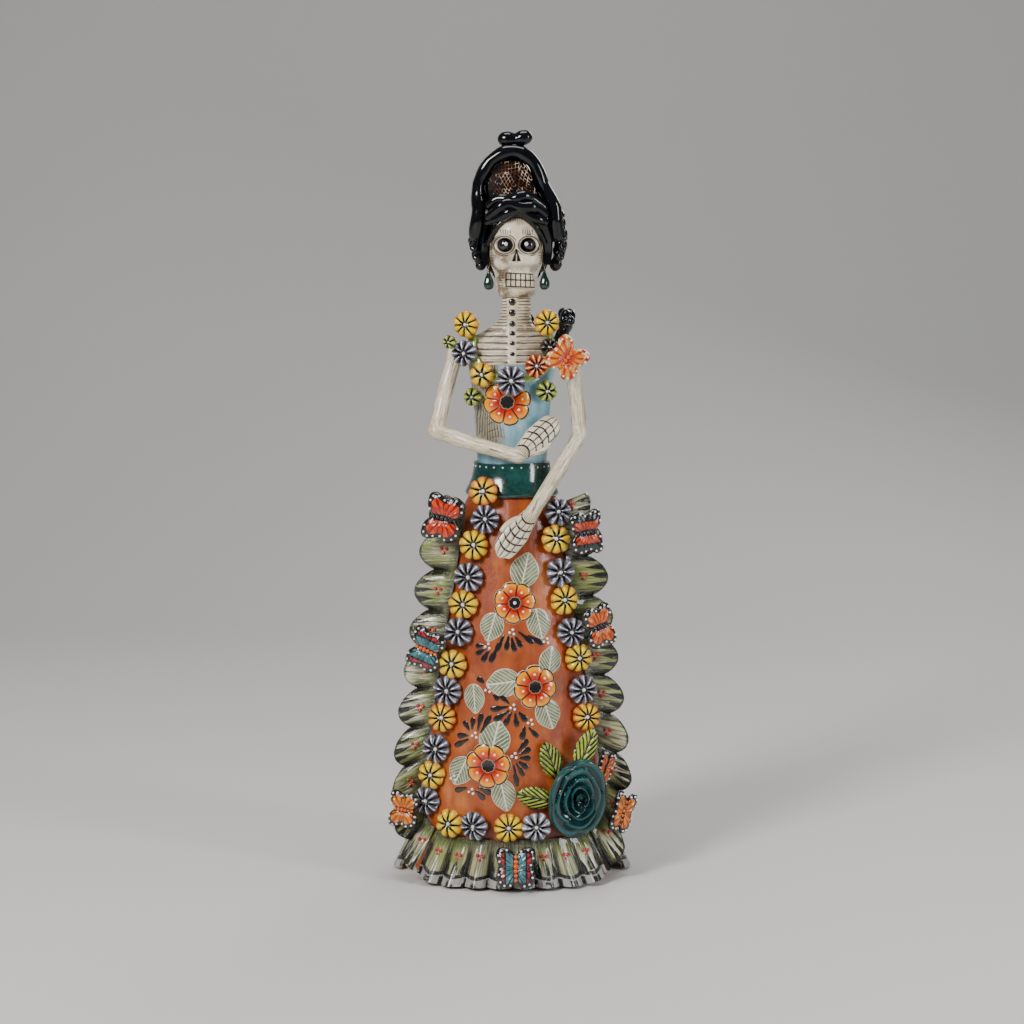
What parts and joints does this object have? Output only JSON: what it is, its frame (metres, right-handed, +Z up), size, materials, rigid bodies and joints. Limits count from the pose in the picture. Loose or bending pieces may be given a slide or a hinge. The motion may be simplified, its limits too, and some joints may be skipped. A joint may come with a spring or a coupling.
{
  "type": "glazed clay catrina figure",
  "caption": "Standing skeleton lady in a long ruffled dress, hand-built in glazed clay, with flower garlands, butterflies, a rose, tall black hair and hanging earrings.",
  "frame": {"origin": "on the surface the figure stands on, under the middle of the figure", "axes": "+Z up, the figure faces -Y, +X is the figure's left side"},
  "size_m": [0.1685, 0.1449, 0.4996],
  "materials": {
    "terracotta_glaze": "gloss",
    "pale_blue_glaze": "gloss",
    "teal_glaze": "gloss",
    "bone_slip": "satin",
    "lime_glaze": "gloss",
    "black_glaze": "gloss",
    "dark_green_glaze": "gloss",
    "sage_glaze": "gloss",
    "garland_glaze": "gloss",
    "yellow_glaze": "gloss",
    "grey_violet_glaze": "gloss",
    "orange_glaze": "gloss",
    "butterfly_glaze": "gloss"
  },
  "bodies": {
    "root": {"skirt": "terracotta_glaze", "torso": "pale_blue_glaze", "waistband": "teal_glaze", "rose": "teal_glaze", "chest_and_neck": "bone_slip", "right_upper_arm": "bone_slip", "right_forearm": "bone_slip", "right_hand": "bone_slip", "left_upper_arm": "bone_slip", "left_forearm": "bone_slip", "left_hand": "bone_slip", "neckline_trim": "lime_glaze", "rose_leaf_1": "lime_glaze", "rose_leaf_2": "lime_glaze", "rose_leaf_3": "lime_glaze", "bud_right_shoulder": "lime_glaze", "bud_right_bodice": "lime_glaze", "bud_left_bodice": "lime_glaze", "shoulder_braid": "black_glaze", "ruffle_right": "sage_glaze", "ruffle_left": "sage_glaze", "ruffle_front_hem": "sage_glaze", "ruffle_back_hem": "sage_glaze", "garland_right_1": "garland_glaze", "garland_right_2": "garland_glaze", "garland_right_3": "garland_glaze", "garland_right_4": "garland_glaze", "garland_left_1": "garland_glaze", "garland_left_2": "garland_glaze", "garland_left_3": "garland_glaze", "garland_left_4": "garland_glaze", "garland_hem_1": "garland_glaze", "garland_hem_2": "garland_glaze", "flower_right_shoulder": "yellow_glaze", "flower_right_neckline": "yellow_glaze", "flower_left_shoulder": "yellow_glaze", "flower_right_chest": "grey_violet_glaze", "flower_centre_neckline": "grey_violet_glaze", "flower_left_chest": "grey_violet_glaze", "flower_left_neckline": "orange_glaze", "butterfly_right_hip": "butterfly_glaze", "butterfly_right_knee": "butterfly_glaze", "butterfly_right_hem": "butterfly_glaze", "butterfly_left_hip": "butterfly_glaze", "butterfly_left_knee": "butterfly_glaze", "butterfly_left_hem": "butterfly_glaze", "butterfly_beside_rose": "butterfly_glaze", "butterfly_front_hem": "butterfly_glaze", "butterfly_left_shoulder": "butterfly_glaze"},
    "head": {"skull": "bone_slip", "hair_cap": "black_glaze", "hair_updo": "black_glaze", "comb": "black_glaze", "hair_arch": "black_glaze", "front_roll": "black_glaze", "curls_right": "black_glaze", "curls_left": "black_glaze", "top_bow": "black_glaze"},
    "earring_right": {"earring_right": "dark_green_glaze"},
    "earring_left": {"earring_left": "dark_green_glaze"}
  },
  "joints": [
    {"name": "head_lift", "type": "slide", "parent": "root", "child": "head", "axis": [0, 0, 1], "range_m": [0, 0.03]},
    {"name": "earring_right_swing", "type": "hinge", "parent": "head", "child": "earring_right", "pos_m": [-0.0156, -0.003, 0.4102], "axis": [1, 0, 0], "range_deg": [-30, 30]},
    {"name": "earring_left_swing", "type": "hinge", "parent": "head", "child": "earring_left", "pos_m": [0.0216, -0.003, 0.4102], "axis": [1, 0, 0], "range_deg": [-30, 30]}
  ]
}
